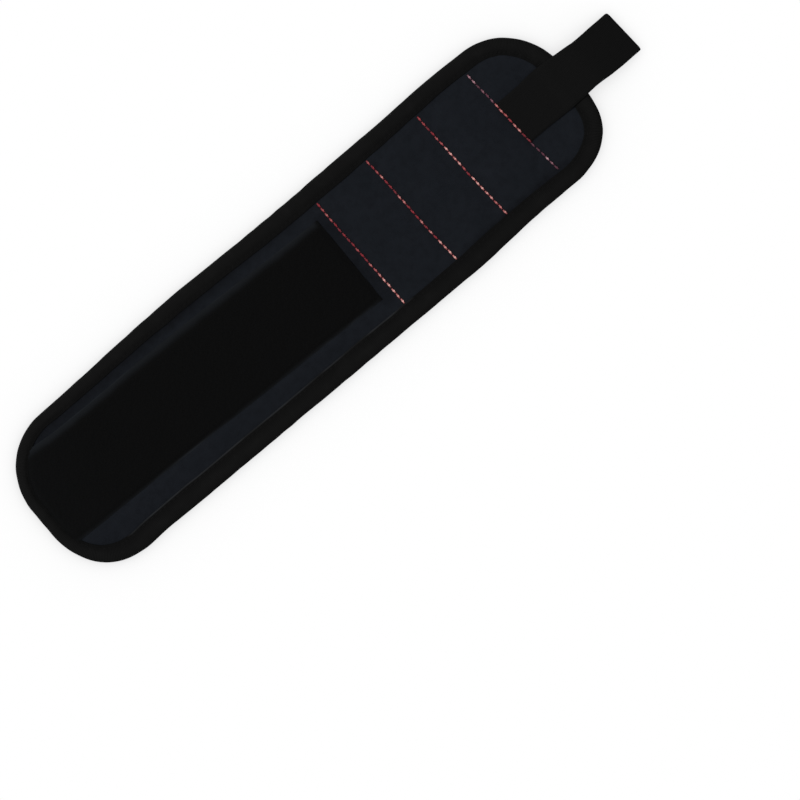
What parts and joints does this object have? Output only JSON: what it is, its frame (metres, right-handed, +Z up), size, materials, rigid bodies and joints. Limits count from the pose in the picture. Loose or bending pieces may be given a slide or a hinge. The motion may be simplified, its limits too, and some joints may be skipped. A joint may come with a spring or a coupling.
{
  "type": "magnetic wristband",
  "caption": "Soft padded wristband that lies flat, wraps round the wrist and closes with hook and loop; sewn-in magnets hold small steel items on its face.",
  "frame": {"origin": "on the table under the middle of the open band, its pull tab included", "axes": "+X along the band towards the pull tab, +Y across the band, +Z up out of the face"},
  "size_m": [0.3902, 0.09, 0.0069],
  "materials": {
    "navy_face": "plain-woven nylon, very dark navy",
    "spacer_mesh": "knitted spacer mesh, black with a charcoal diamond net",
    "binding_tape": "matt black grosgrain tape",
    "loop_pile": "black brushed loop pile",
    "hook_tape": "black hook tape with plain selvedges",
    "webbing": "black ribbed webbing",
    "red_thread": "thick red sewing thread",
    "magnet_nickel": "bright nickel plate"
  },
  "bodies": {
    "loop_panel_1": {"face_1": "navy_face", "lining_1": "spacer_mesh", "binding_end_1": "binding_tape", "loop_patch_1": "loop_pile"},
    "loop_panel_2": {"face_2": "navy_face", "lining_2": "spacer_mesh", "binding_left_2": "binding_tape", "binding_right_2": "binding_tape", "loop_patch_2": "loop_pile"},
    "loop_panel_3": {"face_3": "navy_face", "lining_3": "spacer_mesh", "binding_left_3": "binding_tape", "binding_right_3": "binding_tape", "loop_patch_3": "loop_pile"},
    "loop_panel_4": {"face_4": "navy_face", "lining_4": "spacer_mesh", "binding_left_4": "binding_tape", "binding_right_4": "binding_tape", "loop_patch_4": "loop_pile"},
    "loop_panel_5": {"face_5": "navy_face", "lining_5": "spacer_mesh", "binding_left_5": "binding_tape", "binding_right_5": "binding_tape", "loop_patch_5": "loop_pile"},
    "loop_panel_6": {"face_6": "navy_face", "lining_6": "spacer_mesh", "binding_left_6": "binding_tape", "binding_right_6": "binding_tape", "loop_patch_6": "loop_pile"},
    "magnet_panel_1": {"face_7": "navy_face", "lining_7": "spacer_mesh", "binding_left_7": "binding_tape", "binding_right_7": "binding_tape", "magnet_1_left": "magnet_nickel", "magnet_1_right": "magnet_nickel", "stitch_row_1": "red_thread"},
    "magnet_panel_2": {"face_8": "navy_face", "lining_8": "spacer_mesh", "binding_left_8": "binding_tape", "binding_right_8": "binding_tape", "magnet_2_left": "magnet_nickel", "magnet_2_right": "magnet_nickel", "stitch_row_2": "red_thread"},
    "magnet_panel_3": {"face_9": "navy_face", "lining_9": "spacer_mesh", "binding_left_9": "binding_tape", "binding_right_9": "binding_tape", "magnet_3_left": "magnet_nickel", "magnet_3_right": "magnet_nickel", "stitch_row_3": "red_thread", "hook_patch_inner": "hook_tape"},
    "tab_panel": {"face_10": "navy_face", "lining_10": "spacer_mesh", "binding_end_10": "binding_tape", "hook_patch_outer": "hook_tape", "strap_base": "webbing", "stitch_row_4": "red_thread"},
    "tab": {"pull_tab": "webbing", "pull_tab_back": "webbing"}
  },
  "joints": [
    {"name": "wrap", "type": "hinge", "parent": "magnet_panel_2", "child": "magnet_panel_1", "pos_m": [0.04922, 0, 0], "axis": [0, -1, 0], "range_deg": [0, 44]},
    {"name": "flex_6", "type": "hinge", "parent": "magnet_panel_1", "child": "loop_panel_6", "pos_m": [0.01472, 0, 0], "axis": [0, -1, 0], "range_deg": [0, 48]},
    {"name": "flex_5", "type": "hinge", "parent": "loop_panel_6", "child": "loop_panel_5", "pos_m": [-0.02025, 0, 0], "axis": [0, -1, 0], "range_deg": [0, 44]},
    {"name": "flex_4", "type": "hinge", "parent": "loop_panel_5", "child": "loop_panel_4", "pos_m": [-0.05523, 0, 0], "axis": [0, -1, 0], "range_deg": [0, 50]},
    {"name": "flex_3", "type": "hinge", "parent": "loop_panel_4", "child": "loop_panel_3", "pos_m": [-0.09021, 0, 0], "axis": [0, -1, 0], "range_deg": [0, 50]},
    {"name": "flex_2", "type": "hinge", "parent": "loop_panel_3", "child": "loop_panel_2", "pos_m": [-0.12519, 0, 0], "axis": [0, -1, 0], "range_deg": [0, 56]},
    {"name": "flex_1", "type": "hinge", "parent": "loop_panel_2", "child": "loop_panel_1", "pos_m": [-0.16017, 0, 0], "axis": [0, -1, 0], "range_deg": [0, 56]},
    {"name": "flex_8", "type": "hinge", "parent": "magnet_panel_2", "child": "magnet_panel_3", "pos_m": [0.08372, 0, 0], "axis": [0, 1, 0], "range_deg": [0, 43]},
    {"name": "flex_9", "type": "hinge", "parent": "magnet_panel_3", "child": "tab_panel", "pos_m": [0.11822, 0, 0], "axis": [0, 1, 0], "range_deg": [0, 38]},
    {"name": "pull_tab_lift", "type": "hinge", "parent": "tab_panel", "child": "tab", "pos_m": [0.16085, 0, 0.0067], "axis": [0, -1, 0], "range_deg": [-10, 150]}
  ],
  "couplings": [
    {"joint": "flex_6", "follows": "wrap", "ratio": 1.0909},
    {"joint": "flex_5", "follows": "wrap", "ratio": 1},
    {"joint": "flex_4", "follows": "wrap", "ratio": 1.1363},
    {"joint": "flex_3", "follows": "wrap", "ratio": 1.1363},
    {"joint": "flex_2", "follows": "wrap", "ratio": 1.2727},
    {"joint": "flex_1", "follows": "wrap", "ratio": 1.2727},
    {"joint": "flex_8", "follows": "wrap", "ratio": 0.9772},
    {"joint": "flex_9", "follows": "wrap", "ratio": 0.8636}
  ]
}
